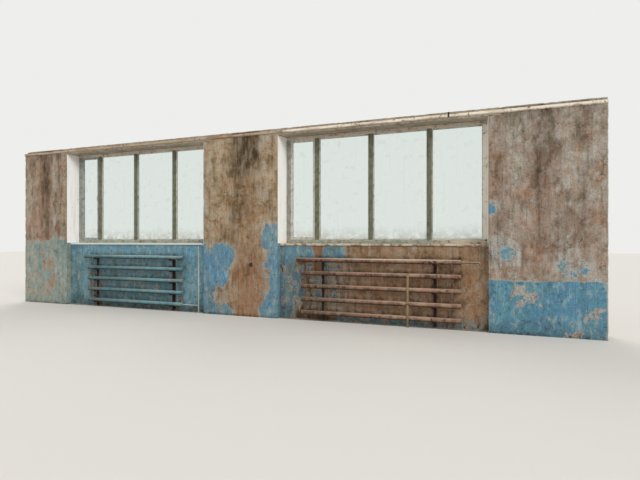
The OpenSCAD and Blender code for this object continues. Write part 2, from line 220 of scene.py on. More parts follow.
class Finish(Shader):
    """One procedural material and the few kinds of pattern that this wall's finishes share."""

    def __init__(self, name):
        self.material = bpy.data.materials.new(name)
        self.material.use_nodes = True
        super().__init__(self.material.node_tree)
        self.place = self.add("TexCoord", out="Object")

    def mix(self, factor, a, b, blend="MIX"):
        """Colour a where factor is 0 and b where it is 1."""
        settings = {"data_type": "RGBA", "blend_type": blend}
        return self.add("Mix", settings, {0: factor, 6: a, 7: b}, out=2)

    def layered(self, colour, *layers):
        """A colour with others laid over it in turn. A layer is how much of it shows, and its colour."""
        for shows, tint in layers:
            colour = self.mix(shows, colour, tint)
        return colour

    def shade(self, factor, a, b):
        """Colour a multiplied by colour b, as strongly as factor says."""
        return self.mix(factor, a, b, "MULTIPLY")

    def wandering(self, scale, reach):
        """The place on the piece, moved about by soft noise as far as reach."""
        noisy = {"Vector": self.place, "Scale": scale, "Detail": 4.0}
        drift = self.add("TexNoise", None, noisy, out="Color")
        moved = self.add("VectorMath", {"operation": "SCALE"}, {0: drift, "Scale": reach})
        return self.add("VectorMath", {"operation": "ADD"}, {0: self.place, 1: moved})

    def cloud(self, scale, detail=4.0, rough=0.55, at=None, warp=0.0):
        """Soft noise around 0.5, scale spots to the metre."""
        sockets = {"Vector": at or self.place, "Scale": scale, "Detail": detail,
                   "Roughness": rough, "Distortion": warp}
        return self.add("TexNoise", None, sockets)

    def streaks(self, x, y, z, detail=5.0, rough=0.6):
        """Soft noise around 0.5 with its own number of spots to the metre along each axis."""
        place = self.add("VectorMath", {"operation": "MULTIPLY"}, {0: self.place, 1: (x, y, z)})
        return self.cloud(1.0, detail, rough, at=place)

    def cells(self, scale, feature="F1", at=None):
        """Distance to scattered points, or to the borders between them, scale of them to the metre."""
        return self.add("TexVoronoi", {"feature": feature}, {"Vector": at or self.place, "Scale": scale})

    def facing(self, axis):
        """1 on faces that look along that axis, -1 on faces that look back along it."""
        normal = self.add("NewGeometry", out="Normal")
        return self.add("SeparateXYZ", None, {0: normal}, out=axis)

    def along(self, axis):
        """Place along an axis in metres: 0 along the wall, 1 through it, 2 up it."""
        return self.add("SeparateXYZ", None, {0: self.place}, out=axis)

    def wear(self, channel):
        """One channel of the wear that a plastered piece carries on its points."""
        colour = self.add("Attribute", {"attribute_name": "wear"}, out="Color")
        return self.add("SeparateColor", None, {0: colour}, out=channel)

    def weather_side(self):
        """1 on the outer face, the ends and the top of a plastered piece, 0 on its room side."""
        return self.add("Attribute", {"attribute_name": "wear"}, out="Alpha")

    def surface(self, colour, rough, height=None, relief=0.002, metallic=0.0, **fixed):
        """Ends the finish with one surface shader, bumped by height."""
        sockets = {"Base Color": colour, "Roughness": rough, "Metallic": metallic, **fixed}
        if height is not None:
            bump = {"Strength": 1.0, "Distance": relief, "Height": height}
            sockets["Normal"] = self.add("Bump", None, bump)
        shader = self.add("BsdfPrincipled", None, sockets)
        self.add("OutputMaterial", None, {"Surface": shader})
        return self.material


class Plaster(Finish):
    """Stained plaster under peeling paint, with the patterns that both share and the piece's own wear."""

    def __init__(self, name):
        super().__init__(name)
        self.cover = self.wear(0)
        # The soot channel: soot and dirt, and the painted shadow above radiator pipes
        self.grime_and_shade = self.wear(1)
        self.warm = self.wear(2)
        self.blotch = self.cloud(2.3, 6.0, 0.62, warp=0.6)
        self.tint = self.cloud(3.7, 5.0, 0.6, at=self.wandering(1.3, 0.8))
        self.patchy = self.streaks(8.0, 8.0, 2.8, 6.0, 0.66)
        self.mottle = self.cloud(13.0, 8.0, 0.7)
        self.grit = self.cloud(75.0, 4.0, 0.6)
        self.runs = self.streaks(12.0, 12.0, 0.8)
        self.fine_runs = self.streaks(38.0, 38.0, 2.0)
        joints = self.cells(1.25, "DISTANCE_TO_EDGE", self.wandering(2.5, 0.55))
        self.cracks = joints.step(0.008, 0.002) * self.blotch.step(0.5, 0.62)

    def bare_colour(self, bare, chalk, soot, rust):
        """Plaster from which the paint is gone. A little cover leaves lime on it."""
        patchy, runs, fine_runs = self.patchy, self.runs, self.fine_runs
        speck = self.cloud(6.0, 8.0, 0.74, at=self.wandering(4.0, 0.12))
        limy = self.cover.step(0.02, 0.14) * (0.2 + patchy.step(0.4, 0.6) * 0.45)
        streaks = runs.step(0.5, 0.7) * 0.35 + fine_runs.step(0.47, 0.32) * runs.step(0.52, 0.42) * 0.3
        stains = streaks + self.grime_and_shade * (0.5 + patchy.step(0.62, 0.3) * 0.55) + self.cracks * 0.55
        return self.layered(
            self.mix(self.blotch.step(0.36, 0.64), bare[0], bare[1]),
            (self.tint.step(0.52, 0.66) * 0.34, MOSSY),
            (self.tint.step(0.48, 0.36) * 0.5, SANDY),
            (patchy.step(0.5, 0.66) * 0.5, chalk),
            (speck.step(0.52, 0.64) * 0.6, chalk),
            (patchy.step(0.5, 0.33) * 0.45, soot),
            (speck.step(0.48, 0.36) * 0.5, soot),
            (limy, chalk),
            (self.warm * (0.4 + self.mottle.step(0.3, 0.7) * 0.6), rust),
            (fine_runs.step(0.54, 0.68) * runs.step(0.48, 0.6) * 0.5, chalk),
            (stains & 0.92, soot))

    def paint_colour(self, paint, accent):
        """Old paint with fresher patches, scuffs, pale runs, dirt and soot, and the painted shadow above
        radiator pipes.
        """
        mottle = self.mottle
        scuff = self.streaks(10.0, 10.0, 5.0, 8.0, 0.72)
        return self.layered(
            self.mix(self.blotch.step(0.38, 0.62), paint[0], paint[1]),
            ((self.patchy.step(0.48, 0.6) * 0.6 + self.warm * 0.75) & 1.0, accent),
            (self.tint.step(0.54, 0.66) * 0.35, FADED_PAINT),
            (scuff.step(0.53, 0.6) * 0.55, SCUFFED_PAINT),
            (scuff.step(0.46, 0.38) * 0.5, RUBBED_PAINT),
            (self.fine_runs.step(0.54, 0.68) * 0.3, LIME_RUN),
            (self.runs.step(0.5, 0.7) * 0.3 + mottle.step(0.46, 0.3) * 0.5, PAINT_GRIME),
            (self.grime_and_shade * (0.45 + mottle.step(0.6, 0.35) * 0.45) + self.cracks * 0.5, PAINT_SOOT))

    def outer_colour(self):
        """The plain grey render of the outer face, the ends and the top."""
        soot = self.grime_and_shade * (0.35 + self.runs.step(0.4, 0.65) * 0.5) + self.cracks * 0.5
        colour = self.mix(self.blotch.step(0.35, 0.65), RENDER_PALE, RENDER_GREY)
        colour = self.mix(soot, colour, RENDER_SOOT)
        # Painted shade in the hollows of the render, where the grit is lowest
        return self.shade(self.grit.step(0.62, 0.42) * 0.3, colour, RENDER_PIT_SHADE)


def plaster_finish(name, bare, paint, accent=PAINT_FRESH, chalk=CHALK, soot=SOOT, rust=RUST):
    """The finish of one plastered piece. bare and paint are pairs of colours, and the piece's wear says where
    each shows."""
    f = Plaster(name)
    edge = f.cover + (f.mottle - 0.5) * 1.05 + (f.patchy - 0.5) * 0.55 + (f.grit - 0.5) * 0.3
    painted = edge.step(0.49, 0.51)
    border = edge.step(0.38, 0.485) - painted
    # Painted shade: darker where the grit and the mottle are lowest, in the hollows of the bump
    pit_shade = f.grit.step(0.6, 0.4) * 0.28 + f.mottle.step(0.48, 0.32) * 0.3
    plaster = f.bare_colour(bare, chalk, soot, rust)
    colour = f.mix(border * 0.75, plaster, chalk)
    colour = f.mix(painted, colour, f.paint_colour(paint, accent))
    colour = f.shade(pit_shade, colour, PIT_SHADE)
    colour = f.mix(f.weather_side(), colour, f.outer_colour())
    relief = painted * 0.35 + f.mottle * 0.9 + f.grit * 0.3 + f.patchy * 0.8 - f.cracks * 0.6
    rough = 0.93 - painted * 0.33 + f.grit * 0.05
    return f.surface(colour, rough, relief, 0.007)


def flake_finish(name, coat, accent):
    """Loose paint: coloured on the face that looks into the room and pale lime on the back."""
    f = Finish(name)
    mottle = f.cloud(22.0, 5.0, 0.65)
    face = f.mix(mottle.step(0.4, 0.62), coat, accent)
    colour = f.mix(f.facing(1).step(0.0, 0.4), face, LIME_BACK)
    return f.surface(colour, 0.62, mottle, 0.001)


def rubble_finish():
    """Fallen plaster and lime dust at the wall's foot."""
    f = Finish("plaster rubble")
    mottle = f.cloud(24.0, 6.0, 0.7)
    tone = f.cells(30.0)
    colour = f.mix(mottle.step(0.35, 0.6), RUBBLE_GREY, RUBBLE_LIME)
    colour = f.mix(tone.step(0.2, 0.75) * 0.5, colour, RUBBLE_BROWN)
    return f.surface(colour, 0.95, mottle, 0.004)


def whitewash_finish():
    """Chalky white on the window reveals, with grey runs and a few bare spots. The edge that looks into the
    room is as brown as the wall."""
    f = Finish("chalky whitewash")
    runs = f.streaks(16.0, 16.0, 1.1)
    mottle = f.cloud(12.0, 6.0, 0.65)
    grit = f.cloud(90.0, 3.0)
    colour = f.layered(
        CHALK_WHITE,
        (runs.step(0.45, 0.8) * 0.45, CHALK_RUN),
        (mottle.step(0.64, 0.7) * 0.7, BARE_SPOT),
        (f.facing(1).step(-0.4, -0.8) * 0.75, ROOM_EDGE))
    return f.surface(colour, 0.88, mottle * 0.7 + grit * 0.3, 0.004)


def ledge_finish():
    """Flaking cream paint on the strip below the ceiling line, browner where it is sooty, with painted shade
    along its lower edge and on faces that look down.
    """
    f = Finish("flaking cream paint")
    stain = f.streaks(2.2, 9.0, 9.0, 6.0, 0.65)
    mottle = f.cloud(20.0, 6.0, 0.7)
    colour = f.layered(
        CREAM,
        # Soot from the wear, which along the ledge's lower edge is painted shade
        ((stain.step(0.48, 0.72) * 0.6 + f.wear(1) * 0.7) & 0.95, CREAM_STAIN),
        (mottle.step(0.57, 0.63), CREAM_CHIP),
        # Painted shade on faces that look down
        (f.facing(2).step(-0.3, -0.95) * 0.35, LEDGE_UNDERSIDE_SHADE))
    return f.surface(colour, 0.7, mottle, 0.003)


def timber_finish(name, light, dark, bare, grain_axis=None, painted_light_from=None, pale="ece6d9"):
    """Old oil paint on window timber: dull, crazed along the grain and worn to bare wood in places. Past a
    given point along the wall it is painted paler, as painted light on the near end."""
    f = Finish(name)
    across_grain = 55.0
    along_grain = 2.4
    painted_light_over = 0.8
    stretch = [across_grain] * 3
    if grain_axis is not None:
        stretch[grain_axis] = along_grain
    grain = f.streaks(*stretch, detail=6.0)
    mottle = f.cloud(11.0, 7.0, 0.68)
    grit = f.cloud(120.0, 3.0)
    worn = (mottle * 0.75 + grain * 0.25 + (grit - 0.5) * 0.06).step(0.565, 0.59)
    colour = f.mix(mottle.step(0.32, 0.64), light, dark)
    # Painted light: paler paint from a point along the wall on, for light on the near end
    if painted_light_from is not None:
        painted_light = f.along(0).step(painted_light_from, painted_light_from + painted_light_over)
        colour = f.mix(painted_light * 0.9, colour, pale)
    colour = f.layered(
        colour,
        (grain.step(0.54, 0.7) * 0.45, GRAIN_DIRT),
        (worn * 0.85, bare),
        (f.facing(2).step(0.5, 0.95) * 0.5, TIMBER_DUST))
    return f.surface(colour, 0.62 + worn * 0.25, grain * 0.6 - worn * 0.5 + grit * 0.15, 0.0012)


def board_finish(name, coat, chip, under, loss):
    """A painted window board whose nose has lost its coat; loss sets how much has gone."""
    f = Finish(name)
    mottle = f.cloud(10.0, 7.0, 0.7)
    grit = f.cloud(80.0, 3.0)
    gone = (mottle + (grit - 0.5) * 0.15).step(0.66 - loss, 0.69 - loss)
    colour = f.mix(gone, coat, f.mix(grit.step(0.4, 0.6), chip, under))
    colour = f.mix(f.facing(2).step(0.6, 1.0) * 0.3, colour, BOARD_DUST)
    return f.surface(colour, 0.75, mottle * 0.5 - gone * 0.6 + grit * 0.2, 0.004)


def pipe_finish(name, coat, coat_dark, rust, rust_dark, dust, loss, stain=None):
    """Painted steel pipe going to rust, with dust on its top that also serves as a painted highlight, and
    painted shade under it. Most dust and highlight lie on the top row, which shelters the others. The stain
    is an older colour that shows through in long patches."""
    f = Finish(name)
    mottle = f.cloud(15.0, 8.0, 0.72)
    grit = f.cloud(110.0, 4.0)
    drift = f.cloud(3.0, 4.0)
    bands = f.streaks(9.0, 2.0, 2.0, 4.0, 0.55)
    bare = (mottle + (drift - 0.5) * 0.6 + (grit - 0.5) * 0.2).step(0.62 - loss, 0.66 - loss)
    painted = f.mix(bands.step(0.36, 0.64), coat, coat_dark)
    if stain:
        older = f.streaks(2.6, 9.0, 9.0)
        painted = f.mix(older.step(0.5, 0.62) * 0.6, painted, stain)
    rusty = f.mix(mottle.step(0.35, 0.65), rust, rust_dark)
    colour = f.mix(bare, painted, rusty)
    up = f.facing(2)
    open_top = f.along(2).step(TOP_ROW - PIPE_R, TOP_ROW)
    # Dust on faces that look up, which also stands as a painted highlight and is strongest on the top row
    dust_and_highlight = up.step(0.3, 0.85) * (0.4 + mottle.step(0.3, 0.6) * 0.6)
    colour = f.mix(dust_and_highlight * (0.4 + open_top * 0.6), colour, dust)
    # Painted shade: faces of the pipe that look down are darkened
    colour = f.shade(up.step(0.15, -0.75) * 0.85, colour, PIPE_SHADOW)
    return f.surface(colour, 0.55 + bare * 0.35, grit * 0.5 - bare * 0.4 + mottle * 0.4, 0.0015)


def glass_finish():
    """Clear sheet glass with a film of dust, thicker along the bottom and in dried runs."""
    f = Finish("dusty window glass")
    runs = f.streaks(14.0, 1.0, 1.2, 4.0, 0.55)
    mottle = f.cloud(6.0, 6.0, 0.65)
    foot = f.along(2).step(BOARD_TOP + 0.4, BOARD_TOP + 0.05) * mottle.step(0.3, 0.6)
    film = runs.step(0.55, 0.9) * 0.07 + mottle.step(0.52, 0.8) * 0.08 + foot * 0.3 + 0.02
    clear = f.add("BsdfPrincipled", None, {
        "Base Color": CLEAR_GLASS, "Roughness": 0.02, "Transmission Weight": 1.0, "IOR": 1.05})
    dirty = f.add("BsdfPrincipled", None, {"Base Color": GLASS_DUST, "Roughness": 0.9})
    shader = f.add("MixShader", None, {0: film, 1: clear, 2: dirty})
    f.add("OutputMaterial", None, {"Surface": shader})
    return f.material


def zinc_finish():
    """Weathered galvanised sheet of the outer sills."""
    f = Finish("weathered zinc")
    spangle = f.cells(45.0)
    mottle = f.cloud(9.0, 6.0, 0.65)
    colour = f.mix(spangle.step(0.1, 0.6), ZINC_PALE, ZINC_GREY)
    colour = f.mix(mottle.step(0.56, 0.7) * 0.8, colour, ZINC_STAIN)
    return f.surface(colour, 0.5 + mottle * 0.25, mottle, 0.001, metallic=0.4)


# Every finish of the wall, by the name that the pieces use: its kind, its material's name and its look
FINISHES = {
    "far_pier": (plaster_finish, "far pier plaster", ("b39c89", "95806b"), ("a3a293", "85948b"), "809c9c"),
    "middle_pier": (plaster_finish, "middle pier plaster", ("bda88a", "a0845e"), ("7c9daa", "6a9099"),
                    PAINT_FRESH, CHALK, "3d2810"),
    "near_pier": (plaster_finish, "near pier plaster", ("b5a698", "9b8a79"), ("5692ab", "5c98a9"),
                  PAINT_FRESH, "c3c4bd"),
    "far_apron": (plaster_finish, "far apron paint", ("80725f", "6f6452"), ("769aa3", "58848c"), "659cb8"),
    "near_apron": (plaster_finish, "near apron plaster", ("af8f70", "947454"), ("7295a1", "618890")),
    "lintel": (plaster_finish, "lintel concrete", ("b59d84", "99795d"), ("cdbba8", "b7a08c"),
               "a2946f", CHALK, SOOT, "9a5c3a"),
    # The jamb's 3.0, and the rail's 3.6 with its pale colour, start painted light towards the near end
    "head": (timber_finish, "head paint", "d0c3b3", "b2a595", "786d5c", 0),
    "jamb": (timber_finish, "jamb paint", "9c9a93", "807e78", "786d5c", 2, 3.0),
    "mullion": (timber_finish, "mullion paint", "74755f", "565a45", "5c5140", 2),
    "far sash": (timber_finish, "far sash paint", "a9b0ac", "8d9591", "6d6353"),
    "bead": (timber_finish, "bead paint", "d3d2c8", "bcb9ae", "8d7d68"),
    "rail": (timber_finish, "rail paint", "b4b5a2", "8b9080", "6d5f47", 0, 3.6, "cfc3ad"),
    "far board": (board_finish, "far board paint", "cfd5d2", "a89c88", "857a68", 0.0),
    "near board": (board_finish, "near board plaster", "cbbba6", "9c8068", "846b56", 0.16),
    "fitting": (pipe_finish, "window fitting", "c8c4b6", "a29c8c", "7a5638", "50382a", "d2cec0", 0.04),
    "zinc": (zinc_finish,),
    "glass": (glass_finish,),
    "far pipe": (pipe_finish, "far pipe paint", "5b8b93", "48717a", "7c5b3e", "54402f", "a3b8b0", -0.03,
                 "83806f"),
    "near pipe": (pipe_finish, "near pipe rust", "97795f", "705443", "75503a", "4a3023", "dfcab2", 0.07,
                  "97614f"),
    "far links": (pipe_finish, "far link paint", "52747a", "41595d", "664d3a", "43332a", "8b9c95", -0.02),
    "near links": (pipe_finish, "near link rust", "745847", "573f34", "63412e", "3f281c", "957a65", 0.08),
    "post": (pipe_finish, "post rust", "33272a", "271d1c", "42281e", "231511", "5d4a3e", 0.18),
    "pale pipe": (pipe_finish, "pale pipe paint", "c3c5bb", "9fa39b", "8a6c4e", "5e4530", "d5d5cb", -0.02),
    "worn bar": (pipe_finish, "worn bar paint", "9a8266", "7b644c", "7d5f43", "5e4530", "c2ad90", 0.03),
    "whitewash": (whitewash_finish,),
    "ledge": (ledge_finish,),
    "rubble": (rubble_finish,),
    "blue flake": (flake_finish, "blue paint flakes", "6f97a6", "4f87a8"),
    "grey flake": (flake_finish, "grey paint flakes", "8f9c97", "7d9496"),
}


def row_height(row):
    """Height of the axis of a radiator's pipe, rows counted from the lowest."""
    return PIPE_LOW.z + PIPE_R + row * ROW_PITCH


def clamped(level):
    """The level kept between 0 and 1."""
    return min(1.0, max(0.0, level))


def soft_box(x, z, left, right, bottom, top, soft=0.3):
    """1 well inside a patch, 0 well outside it and a ramp soft metres wide at its sides."""
    inside = min(x - left, right - x, z - bottom, top - z)
    return clamped(inside / soft + 0.5)


def soft_below(z, height, soft):
    """1 well below a height, 0 well above it and a ramp soft metres high between."""
    return clamped((height - z) / soft + 0.5)


class Wear:
    """Where a plastered piece is painted, sooty or rust-stained.

    A patch is (left, right, bottom, top, amount), in metres from the piece's far foot on the room side, and
    perhaps the softness of its sides. The dado's paint covers the piece up to that height, and the patches
    add to it or take from it. A rust patch is fresher blue where it falls on paint. A hole is (x, z, radius,
    depth). The pipes of a radiator that stands before the piece are (left, right, amount), and above each
    lies a band of soot that also serves as the pipe's painted shadow on the wall."""

    def __init__(self, seed, dado=0.0, cover=0.85, paint=(), soot=(), rust=(), holes=(), pipes=None):
        self.seed = seed
        self.dado = dado
        self.cover = cover
        self.patches = (paint, soot, rust)
        self.holes = holes
        self.pipes = pipes

    def at(self, x, z):
        """Paint, soot (with the painted shadow above radiator pipes) and rust at x along the piece and z up.
        """
        broad = noise.noise_vector(Vector((x * BROAD_SPOTS, z * BROAD_SPOTS, self.seed)))
        close = noise.noise_vector(Vector((x * CLOSE_SPOTS, z * CLOSE_SPOTS, self.seed + 4.0)))
        flow = noise.fractal(Vector((x * 3.4, z * 3.4, self.seed + 9.0)), 1.0, 2.0, 4)
        warped_x = x + broad.x * BROAD_REACH + close.x * CLOSE_REACH
        warped_z = z + broad.y * BROAD_REACH + close.y * CLOSE_REACH
        levels = [self.cover * soft_below(z + close.y * 0.012, self.dado, 0.04), 0.0, 0.0]
        for i, patches in enumerate(self.patches):
            for left, right, bottom, top, amount, *soft in patches:
                levels[i] += amount * soft_box(warped_x, warped_z, left, right, bottom, top, *soft)
        if levels[0] > 0.05:
            levels[0] += flow * 0.28
        levels[1] += soft_below(z, FOOT_DIRT, 0.05)
        levels[1] += sum(1.5 * self.near_hole(x, z, hole) for hole in self.holes)
        if self.pipes:
            # Soot above each pipe, which also stands for the pipe's painted shadow on the wall
            levels[1] += self.soot_and_shadow_above_pipes(x, z + close.y * 0.02) * (1.0 + flow)
        return [clamped(level) for level in levels]

    def soot_and_shadow_above_pipes(self, x, z):
        """Soot that warm air has left above each pipe, which also serves as the pipe's painted shadow on the
        wall.
        """
        left, right, amount = self.pipes
        rows = [row_height(i) for i in range(ROWS)]
        return amount * max(soft_box(x, z, left, right, row - 0.01, row + 0.085, 0.05) for row in rows)

    def near_hole(self, x, z, hole):
        """1 in the middle of a hole, 0 past its ragged rim."""
        middle_x, middle_z, radius, _ = hole
        ragged = radius * (1.0 + 0.35 * noise.noise(Vector((x * 30.0, z * 30.0, self.seed))))
        away = math.hypot(x - middle_x, z - middle_z) / ragged
        return clamped((1.15 - away) / 0.35)

    def sunk(self, x, z, rust):
        """How deep plaster is lost at x and z, to rust and in holes."""
        return RUST_DEPTH * rust + sum(hole[3] * self.near_hole(x, z, hole) for hole in self.holes)


def wear_outside(place, seed):
    """The wear of the weather side: no paint, splashes along the foot and faint dirt in tall runs."""
    splash_height = 0.5
    splash = max(0.0, splash_height - place.z) * 0.7
    drift = max(0.0, noise.fractal(Vector((place.x * 3.5, place.z * 0.5, seed)), 1.0, 2.0, 3))
    return 0.0, min(1.0, splash + drift * 0.4), 0.0


# Places along and up each piece as they show in the photograph. On the near pier all beyond its first
# 0.1 m is guessed
PLASTER_WEAR = {
    "far_pier": Wear(3.0, dado=1.62, cover=0.62, paint=[
        (1.1, 1.7, 0.0, 1.75, 0.3, 0.12), (0.7, 1.1, 0.35, 1.2, -0.24, 0.4),
        (-0.2, 0.5, 0.2, 1.7, -0.1, 0.4), (0.95, 1.15, 1.6, 1.85, 0.6, 0.12),
        (0.95, 1.12, 1.9, 3.9, 0.12, 0.1), (0.0, 0.35, 2.0, 3.4, 0.08, 0.2),
    ], soot=[
        (0.57, 0.9, 1.65, 4.2, 0.55, 0.2), (0.62, 0.8, 2.9, 4.2, 0.4, 0.2),
        (1.1, 1.28, 1.8, 4.2, 0.4, 0.12), (0.27, 0.37, 1.9, 4.2, 0.25, 0.1), (0.0, 1.5, 3.6, 4.3, 0.2),
        (0.82, 0.95, 1.9, 3.9, 0.35, 0.1),
    ], rust=[
        (0.5, 0.95, 1.4, 3.6, 0.4), (0.7, 1.1, 0.3, 1.2, 0.5), (0.0, 0.5, 1.7, 2.4, 0.25, 0.4),
    ]),
    "middle_pier": Wear(7.0, dado=1.575, cover=0.8, paint=[
        (0.8, 1.5, -0.5, 1.8, -0.9, 0.2), (1.62, 1.95, 1.5, 1.93, 0.85, 0.14),
        (1.44, 1.7, 1.5, 1.74, 0.6, 0.14), (0.66, 0.88, -0.4, 0.2, 0.5, 0.1),
        (0.36, 0.82, 0.1, 0.7, -0.46, 0.2), (1.45, 1.72, 0.3, 1.55, -0.3, 0.2),
        (0.1, 0.3, 1.42, 1.7, -0.4, 0.1), (0.4, 0.52, 1.45, 1.7, -0.35, 0.08),
        (-0.2, 0.26, 1.66, 3.9, 0.16, 0.1), (1.42, 1.74, 2.5, 3.9, 0.1, 0.2),
    ], soot=[
        (0.76, 1.38, 3.1, 4.3, 0.85), (0.95, 1.4, 3.3, 4.1, 0.9, 0.2), (0.8, 1.25, 2.2, 3.4, 0.4),
        (0.85, 1.0, 1.75, 3.2, 0.3, 0.12), (-0.1, 0.04, 1.6, 3.9, 0.3, 0.06),
        (0.5, 0.75, 1.62, 1.85, 0.4, 0.12), (1.15, 1.35, 1.6, 1.9, 0.35, 0.12), (0.1, 0.8, -0.3, 0.7, 0.4),
        (0.85, 1.45, 0.9, 1.6, 0.22),
    ], rust=[
        (0.85, 1.45, -0.3, 1.0, 0.75), (0.85, 1.4, 0.9, 1.575, 0.45, 0.1), (0.9, 1.4, 1.7, 2.9, 0.35, 0.4),
        (1.45, 1.9, 0.2, 1.3, 0.6, 0.15), (0.1, 0.7, 0.78, 1.38, 0.8, 0.25),
    ], holes=[
        (1.26, 1.1, 0.045, 0.03),
    ]),
    "near_pier": Wear(12.0, dado=0.93, cover=0.84, paint=[
        (-0.2, 0.45, 1.2, 1.62, 0.5, 0.2), (-0.2, 0.16, 2.08, 2.32, 0.62, 0.1),
        (1.0, 1.6, 0.93, 1.35, 0.45), (0.5, 0.95, 0.35, 0.95, -0.4, 0.25),
        (1.45, 1.9, 0.0, 0.5, -0.3, 0.25), (0.1, 0.45, -0.2, 0.35, -0.22),
        (1.05, 1.5, -0.2, 0.25, -0.26, 0.2),
    ], soot=[
        (0.2, 0.34, 1.5, 4.3, 0.35, 0.12), (0.75, 1.1, 2.6, 4.3, 0.6), (1.5, 1.62, 1.5, 4.3, 0.4, 0.12),
        (0.8, 0.95, 1.5, 2.9, 0.35, 0.12), (0.0, 1.9, 3.7, 4.3, 0.25), (-0.2, 2.1, -0.3, 0.2, 0.5, 0.2),
        (-0.2, 0.12, -0.3, 1.6, 0.35, 0.1), (0.4, 1.1, 0.1, 0.9, 0.2, 0.4),
    ], rust=[
        (1.0, 1.5, 0.3, 0.85, 0.6), (-0.2, 0.3, 1.5, 3.4, 0.3), (0.6, 1.1, 1.0, 3.2, 0.4),
        (1.4, 1.8, 1.0, 2.2, 0.3),
    ]),
    "far_apron": Wear(17.0, dado=1.7, cover=0.8, pipes=(0.65, 3.55, 0.6), paint=[
        (2.2, 2.9, 0.5, 0.75, -0.2, 0.12), (0.6, 1.05, -0.2, 0.9, -0.38, 0.25),
        (3.1, 3.55, 0.0, 0.9, -0.33, 0.25), (-0.2, 4.4, 1.2, 1.7, 0.15, 0.2),
    ], soot=[
        (-0.1, 0.4, -0.3, 1.7, 0.35), (0.0, 4.4, -0.5, 0.14, 0.9, 0.2), (0.6, 3.4, -0.3, 1.2, 0.36),
        (0.75, 1.05, -0.3, 1.0, 0.3, 0.2),
    ], rust=[
        (0.5, 1.05, -0.3, 0.9, 0.5), (3.1, 3.6, -0.3, 0.9, 0.5), (-0.2, 4.4, 1.27, 1.8, 0.6, 0.15),
        (3.7, 4.4, 0.3, 1.6, 0.4),
    ]),
    "near_apron": Wear(23.0, dado=0.0, cover=0.0, pipes=(0.45, 3.7, 0.62), paint=[
        (-0.4, 1.45, 1.24, 1.9, 0.85, 0.03), (-0.3, 0.32, -0.5, 1.3, 0.55, 0.2),
        (0.3, 1.4, 0.3, 1.25, 0.42), (0.72, 0.96, 1.0, 1.9, -0.9, 0.06), (3.65, 4.4, -0.3, 0.18, 0.5, 0.12),
        (1.3, 3.65, -0.3, 0.15, 0.54, 0.12),
    ], soot=[
        (-0.1, 0.07, -0.3, 1.7, 0.5, 0.06), (0.0, 4.4, -0.5, 0.17, 0.75, 0.2), (0.0, 0.5, -0.3, 1.2, 0.72),
        (0.3, 1.4, 0.1, 1.25, 0.3), (0.97, 1.445, 1.25, 1.7, 0.22, 0.1), (1.45, 4.4, 1.28, 1.7, 0.16, 0.1),
        (3.4, 3.75, 0.1, 1.1, 0.2, 0.2), (3.7, 4.4, -0.3, 0.25, 0.3, 0.2),
    ], rust=[
        (0.7, 0.98, 0.9, 1.9, 0.8, 0.1), (1.4, 3.4, 0.2, 1.1, 0.3, 0.4), (3.75, 3.95, 0.2, 1.6, 0.3, 0.15),
    ]),
    "lintel": Wear(31.0, paint=[
        (-0.2, 4.8, 3.7, 4.1, 0.5, 0.1), (3.2, 4.8, 3.7, 4.1, 0.2),
    ], soot=[
        (0.0, 4.6, 3.8, 4.0, 0.1, 0.12), (1.6, 1.9, 3.7, 4.1, 0.4, 0.2),
    ], rust=[
        (0.6, 1.9, 3.7, 4.0, 0.4, 0.12), (3.0, 3.8, 3.7, 4.0, 0.4, 0.12),
    ]),
    # On the ledge, the second soot band is painted shade along its lower edge, under its cream top
    "ledge": Wear(37.0, soot=[
        (-0.5, 7.7, 3.7, 4.2, 1.0, 0.4), (-1.0, 14.0, 3.7, 3.86, 0.5, 0.02),
    ]),
}


# A slot name for each piece of painted plaster; nothing here gives the piece that slot
PLASTER_SLOTS = {"far_pier": "pier_plaster", "middle_pier": "pier_plaster", "near_pier": "pier_plaster",
                 "far_apron": "far_apron_paint", "near_apron": "near_apron_plaster"}


def put_in_scene(name, data):
    """An object of a mesh, a lamp or a camera, put into the scene."""
    made = bpy.data.objects.new(name, data)
    bpy.context.scene.collection.objects.link(made)
    return made


def mesh_object(name, bm, finish):
    """An object made of a bmesh, with its finish."""
    mesh = bpy.data.meshes.new(name)
    bm.to_mesh(mesh)
    bm.free()
    mesh.materials.append(finish)
    return put_in_scene(name, mesh)


def piece(name, bm, finish):
    """A new piece made of a bmesh, which rides on the wall."""
    made = mesh_object(name, bm, finish)
    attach(made, "root")
    return made


def merged_copy(node):
    """A bmesh of a CAD solid with its loose triangles joined into whole faces."""
    bm = bmesh.new()
    bm.from_mesh(NODES[node].data)
    bmesh.ops.remove_doubles(bm, verts=bm.verts, dist=1e-5)
    level_angle = 0.01
    bmesh.ops.dissolve_limit(bm, angle_limit=level_angle, verts=bm.verts, edges=bm.edges)
    return bm


def slice_grid(bm, step):
    """Cuts a bmesh into a grid of about that step along each axis."""
    for axis in range(3):
        low = min(v.co[axis] for v in bm.verts)
        high = max(v.co[axis] for v in bm.verts)
        count = max(1, round((high - low) / step))
        normal = Vector([float(axis == i) for i in range(3)])
        for i in range(1, count):
            cut = normal * (low + (high - low) * i / count)
            geom = bm.verts[:] + bm.edges[:] + bm.faces[:]
            bmesh.ops.bisect_plane(bm, geom=geom, dist=1e-6, plane_co=cut, plane_no=normal)


def refine_holes(bm, wear, low):
    """Finer cells on the room face where a piece has a hole."""
    for x, z, radius, _ in wear.holes:
        middle = Vector((low.x + x, low.y, z))
        reach = radius * 2.2
        close = [e for e in bm.edges if all((v.co - middle).length < reach for v in e.verts)]
        bmesh.ops.subdivide_edges(bm, edges=close, cuts=4, use_grid_fill=True)


def waviness(place, uneven):
    """How far the plaster dips below its true face at a place."""
    return uneven * clamped(0.5 + noise.fractal(place * 5.0, 1.0, 2.0, 3))


